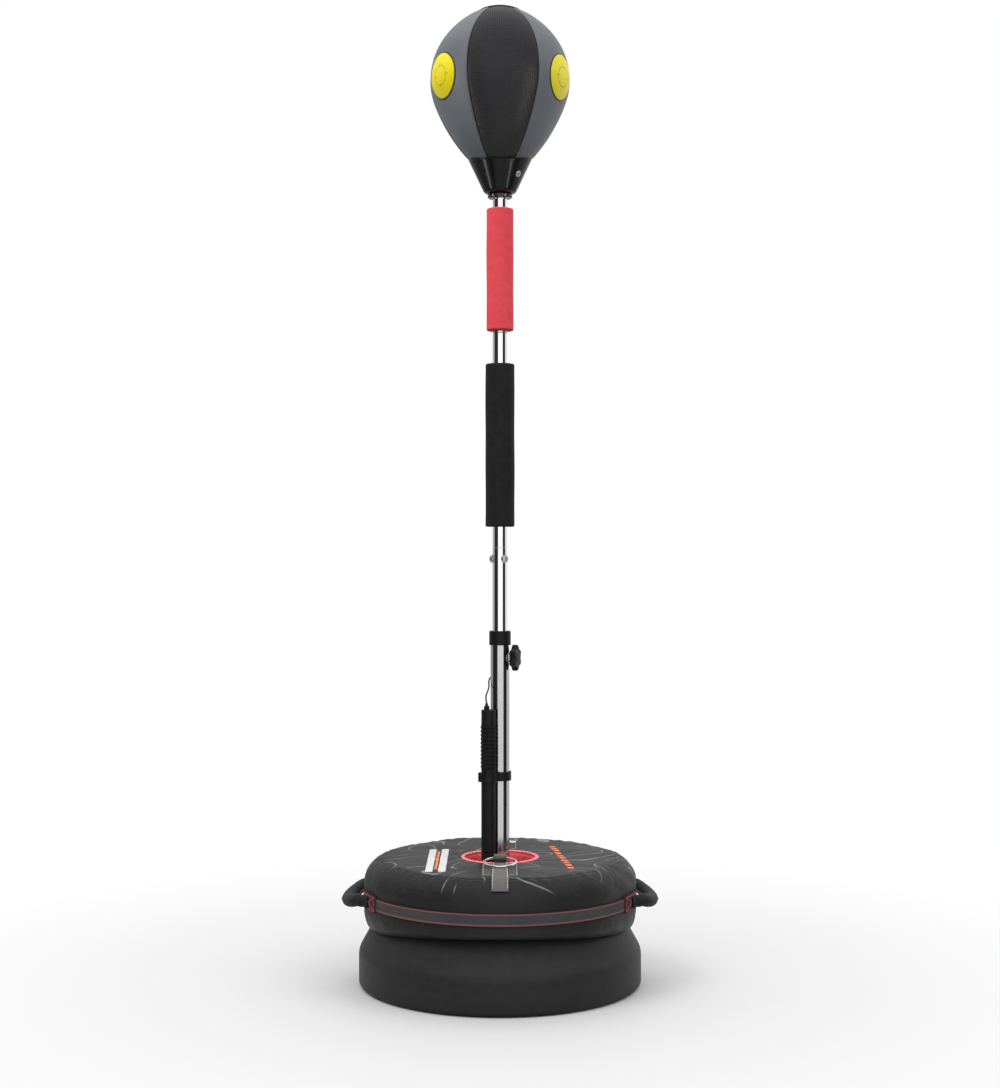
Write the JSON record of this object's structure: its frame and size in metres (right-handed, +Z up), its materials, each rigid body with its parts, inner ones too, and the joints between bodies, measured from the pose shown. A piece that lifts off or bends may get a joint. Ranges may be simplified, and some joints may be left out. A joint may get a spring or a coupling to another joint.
{
  "type": "speed bag platform",
  "caption": "Free-standing reflex bag: a teardrop ball on a sprung, height-adjustable pole above a weighted drum base with a ring sandbag and a clipped hand pump.",
  "frame": {"origin": "on the floor, under the middle of the pole", "axes": "+Z up the pole, -Y towards the front, where the front steel ring lies, +X towards the lock knob"},
  "size_m": [0.5324, 0.475, 1.6482],
  "materials": {
    "drum_plastic": "moulded, fine matte grain",
    "ballast": "loose dry sand",
    "foot_rubber": "matte",
    "seal_rubber": "smooth",
    "cap_plastic": "ribbed, satin",
    "foot_steel": "black powder coat",
    "fastener_steel": "zinc plated",
    "insert_brass": "turned",
    "bag_fabric": "coated woven fabric with a faint printed contour pattern",
    "lining_fabric": "gathered lining",
    "band_webbing": "herringbone webbing with stitched edges",
    "patch_webbing": "webbing with a box stitch",
    "handle_fabric": "padded sleeve",
    "tab_fabric": "reinforcement patch",
    "tab_webbing": "webbing with pale stitching",
    "ring_steel": "bright plated wire",
    "lower_steel": "satin plated tube",
    "upper_chrome": "bright chrome tube",
    "collar_plastic": "moulded",
    "boss_steel": "welded nut, plated",
    "knob_plastic": "moulded, satin gloss",
    "tip_brass": "turned",
    "bush_plastic": "acetal",
    "foam_black": "closed-cell foam with a fine grain",
    "foam_red": "closed-cell foam with a fine grain",
    "spring_steel": "oiled spring wire",
    "ferrule_plastic": "high gloss",
    "cup_rubber": "smooth glossy moulding",
    "hub_wood": "turned hardwood plug",
    "bladder_rubber": "smooth",
    "ball_black": "synthetic leather embossed with fine dots",
    "ball_grey": "smooth synthetic leather",
    "nub_plastic": "satin",
    "target_yellow": "printed film",
    "valve_rubber": "smooth white",
    "pump_plastic": "moulded, fine grain",
    "grip_rubber": "ribbed",
    "rod_steel": "drawn rod",
    "hose_rubber": "thin braided tube",
    "needle_steel": "polished"
  },
  "bodies": {
    "base": {"base_shell": "drum_plastic", "ballast_fill": "ballast", "base_pads": "foot_rubber", "pole_foot": "foot_steel", "foot_bolts": "fastener_steel", "foot_inserts": "insert_brass", "anchor_bolt": "fastener_steel", "anchor_nut": "fastener_steel", "sandbag": "bag_fabric", "well_lining": "lining_fabric", "bag_band": "band_webbing", "handle_patches": "patch_webbing", "tab_patches": "tab_fabric", "ring_tab_front": "tab_webbing", "ring_tab_rear": "tab_webbing", "lower_tube": "lower_steel", "tube_collar": "collar_plastic", "lock_boss": "boss_steel", "pump_barrel": "pump_plastic", "pump_head": "pump_plastic", "pump_grip": "grip_rubber", "pump_nozzle": "pump_plastic", "pump_end_cap": "pump_plastic", "pump_clip": "pump_plastic", "pump_hose": "hose_rubber", "pump_needle": "needle_steel"},
    "mast": {"mid_tube": "upper_chrome", "glide_bush": "bush_plastic", "upper_tube": "upper_chrome", "joint_screws": "fastener_steel", "foam_black": "foam_black", "spring_plug_lower": "fastener_steel"},
    "spring": {"spring_coil": "spring_steel", "foam_red": "foam_red"},
    "ball": {"spring_plug_upper": "fastener_steel", "top_tube": "upper_chrome", "ball_ferrule": "ferrule_plastic", "ball_cup": "cup_rubber", "ball_hub": "hub_wood", "hub_pin": "fastener_steel", "ball_bladder": "bladder_rubber", "ball_panels_black": "ball_black", "ball_panels_grey": "ball_grey", "ball_top_patch": "ball_black", "ball_top_nub": "nub_plastic", "target_discs": "target_yellow", "air_valve": "valve_rubber"},
    "lock_slide": {"lock_tip": "tip_brass"},
    "knob": {"lock_stud": "fastener_steel", "lock_knob": "knob_plastic"},
    "plunger": {"pump_rod": "rod_steel", "pump_piston": "pump_plastic", "pump_seal": "seal_rubber", "pump_handle": "pump_plastic"},
    "handle_l": {"handle_left": "handle_fabric"},
    "handle_r": {"handle_right": "handle_fabric"},
    "ring_f": {"ring_front": "ring_steel"},
    "ring_b": {"ring_rear": "ring_steel"},
    "cap_slide": {"filler_seal": "seal_rubber"},
    "cap": {"filler_cap": "cap_plastic"}
  },
  "joints": [
    {"name": "height", "type": "slide", "parent": "base", "child": "mast", "axis": [0, 0, 1], "range_m": [-0.11, 0.1]},
    {"name": "whip_forward", "type": "hinge", "parent": "mast", "child": "spring", "pos_m": [0, 0, 1.165], "axis": [1, 0, 0], "range_deg": [-35, 35], "stiffness_Nm_per_rad": 22, "deforming": ["spring_coil", "foam_red"]},
    {"name": "whip_sideways", "type": "hinge", "parent": "spring", "child": "ball", "pos_m": [0, 0, 1.235], "axis": [0, 1, 0], "range_deg": [-35, 35], "stiffness_Nm_per_rad": 22, "deforming": ["spring_coil", "foam_red"]},
    {"name": "lock_travel", "type": "slide", "parent": "base", "child": "lock_slide", "axis": [0.9613, -0.2756, 0], "range_m": [0, 0.00375]},
    {"name": "lock_turn", "type": "hinge", "parent": "lock_slide", "child": "knob", "pos_m": [0.01884, -0.0054, 0.5473], "axis": [0.9613, -0.2756, 0], "range_deg": [0, 1080]},
    {"name": "pump_stroke", "type": "slide", "parent": "base", "child": "plunger", "axis": [0, 0, -1], "range_m": [0, 0.068]},
    {"name": "handle_left_lift", "type": "hinge", "parent": "base", "child": "handle_l", "pos_m": [-0.23556, 0, 0.151], "axis": [0, 1, 0], "range_deg": [0, 60]},
    {"name": "handle_right_lift", "type": "hinge", "parent": "base", "child": "handle_r", "pos_m": [0.23556, 0, 0.151], "axis": [0, -1, 0], "range_deg": [0, 60]},
    {"name": "ring_front_lift", "type": "hinge", "parent": "base", "child": "ring_f", "pos_m": [0, -0.0715, 0.222], "axis": [-1, 0, 0], "range_deg": [0, 110]},
    {"name": "ring_rear_lift", "type": "hinge", "parent": "base", "child": "ring_b", "pos_m": [0, 0.0715, 0.222], "axis": [1, 0, 0], "range_deg": [0, 110]},
    {"name": "cap_travel", "type": "slide", "parent": "base", "child": "cap_slide", "axis": [0, 0.8729, 0.4879], "range_m": [0, 0.009]},
    {"name": "cap_turn", "type": "hinge", "parent": "cap_slide", "child": "cap", "pos_m": [0, 0.22707, 0.078], "axis": [0, 0.8729, 0.4879], "range_deg": [0, 1080]}
  ],
  "couplings": [
    {"joint": "lock_turn", "follows": "lock_travel", "rad_per_m": 5026.5},
    {"joint": "cap_turn", "follows": "cap_travel", "rad_per_m": 2094.4}
  ]
}
